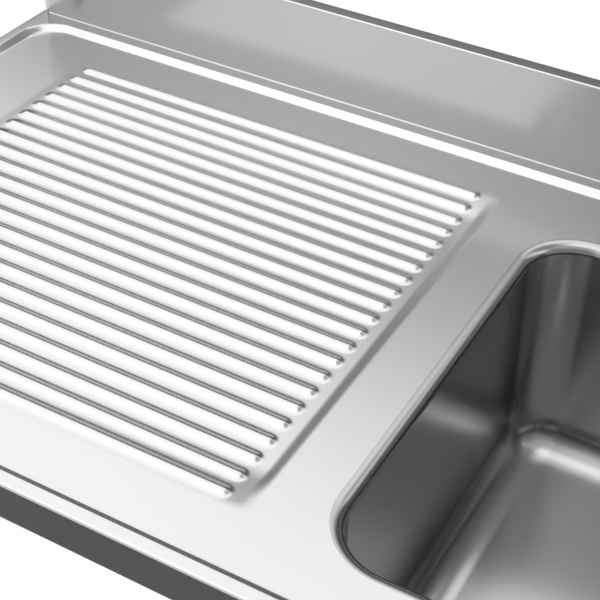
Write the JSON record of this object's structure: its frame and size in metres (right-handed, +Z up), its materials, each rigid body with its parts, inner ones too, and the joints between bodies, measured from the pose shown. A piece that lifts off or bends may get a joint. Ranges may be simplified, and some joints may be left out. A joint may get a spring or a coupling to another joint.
{
  "type": "kitchen sink with drainboard",
  "caption": "Sit-on pressed steel sink top with a ribbed drainer on the left, one deep square bowl, a back upstand, a rail frame below and a lift-out basket waste.",
  "frame": {"origin": "middle of the four fixing holes, on the underside of the fixing plates that rests on the base", "axes": "+X along the length from the drainer to the bowl, +Y to the upstand at the back, +Z up"},
  "size_m": [1.2, 0.65, 0.4452],
  "materials": {
    "satin_sheet": "satin pressed stainless sheet",
    "bowl_sheet": "satin deep-drawn stainless sheet",
    "frame_sheet": "plain mill-finish sheet",
    "fastener": "plain",
    "damping_sheet": "matt bitumen-filled sheet",
    "seal_rubber": "smooth rubber",
    "polished_sheet": "polished stainless",
    "waste_plastic": "moulded white plastic"
  },
  "bodies": {
    "top": {"sink_top": "satin_sheet", "bowl": "bowl_sheet", "upstand_end_cap_left": "satin_sheet", "upstand_end_cap_right": "satin_sheet", "front_rail": "frame_sheet", "rear_rail": "frame_sheet", "cross_rail_left": "frame_sheet", "cross_rail_middle": "frame_sheet", "cross_rail_right": "frame_sheet", "fixing_plate_front_left": "frame_sheet", "fixing_plate_rear_left": "frame_sheet", "fixing_plate_front_right": "frame_sheet", "fixing_plate_rear_right": "frame_sheet", "weld_studs": "fastener", "stud_nuts": "fastener", "drainer_stiffener_left": "frame_sheet", "drainer_stiffener_right": "frame_sheet", "drainer_damping_pad": "damping_sheet", "bowl_damping_pad_front": "damping_sheet", "bowl_damping_pad_right": "damping_sheet", "bowl_damping_pad_rear": "damping_sheet", "bowl_damping_pad_left": "damping_sheet", "bowl_damping_pad_floor": "damping_sheet", "flange_seal": "seal_rubber", "bowl_gasket": "seal_rubber", "waste_flange": "polished_sheet", "waste_body": "waste_plastic", "outlet_funnel": "waste_plastic", "clamp_screw": "fastener"},
    "basket": {"strainer_basket": "polished_sheet", "basket_plug": "seal_rubber", "basket_knob": "polished_sheet"}
  },
  "joints": [
    {"name": "basket_lift", "type": "slide", "parent": "top", "child": "basket", "axis": [0, 0, 1], "range_m": [0, 0.34]}
  ]
}
